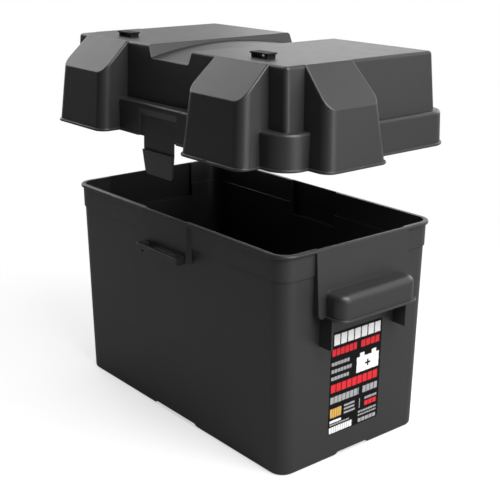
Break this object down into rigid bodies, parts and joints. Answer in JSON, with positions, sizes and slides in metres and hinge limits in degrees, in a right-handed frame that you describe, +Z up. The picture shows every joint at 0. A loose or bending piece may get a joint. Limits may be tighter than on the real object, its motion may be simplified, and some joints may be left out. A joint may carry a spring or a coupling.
{
  "type": "battery box",
  "caption": "Plastic storage box for a deep cycle battery: drafted tub with end handles, and a lift-off lid with cable covers, sprung latches and vent caps.",
  "frame": {"origin": "middle of the face that the tub stands on, on the tub's own centre lines", "axes": "+X along the long side, towards the end that carries the label; -Y towards the long side with the two cable covers; +Z up"},
  "size_m": [0.4098, 0.2377, 0.3863],
  "materials": {
    "tub_plastic": "satin moulded polypropylene",
    "lid_plastic": "satin moulded polypropylene",
    "latch_plastic": "satin moulded polypropylene",
    "vent_plastic": "matt black moulded plastic",
    "label_print": "printed film, satin"
  },
  "bodies": {
    "tub": {"tub": "tub_plastic", "label": "label_print"},
    "lid": {"lid": "lid_plastic", "vent_cap_left": "vent_plastic", "vent_cap_right": "vent_plastic"},
    "latch_front": {"snap_latch_front": "latch_plastic"},
    "latch_rear": {"snap_latch_rear": "latch_plastic"}
  },
  "joints": [
    {"name": "lid_lift", "type": "slide", "parent": "tub", "child": "lid", "axis": [0, 0, 1], "range_m": [-0.105, 0.03]},
    {"name": "front_latch_flex", "type": "hinge", "parent": "lid", "child": "latch_front", "pos_m": [-0.004, -0.1017, 0.3144], "axis": [1, 0, 0], "range_deg": [-3.5, 2], "stiffness_Nm_per_rad": 0.5},
    {"name": "rear_latch_flex", "type": "hinge", "parent": "lid", "child": "latch_rear", "pos_m": [0.004, 0.1017, 0.3144], "axis": [-1, 0, 0], "range_deg": [-3.5, 2], "stiffness_Nm_per_rad": 0.5}
  ]
}
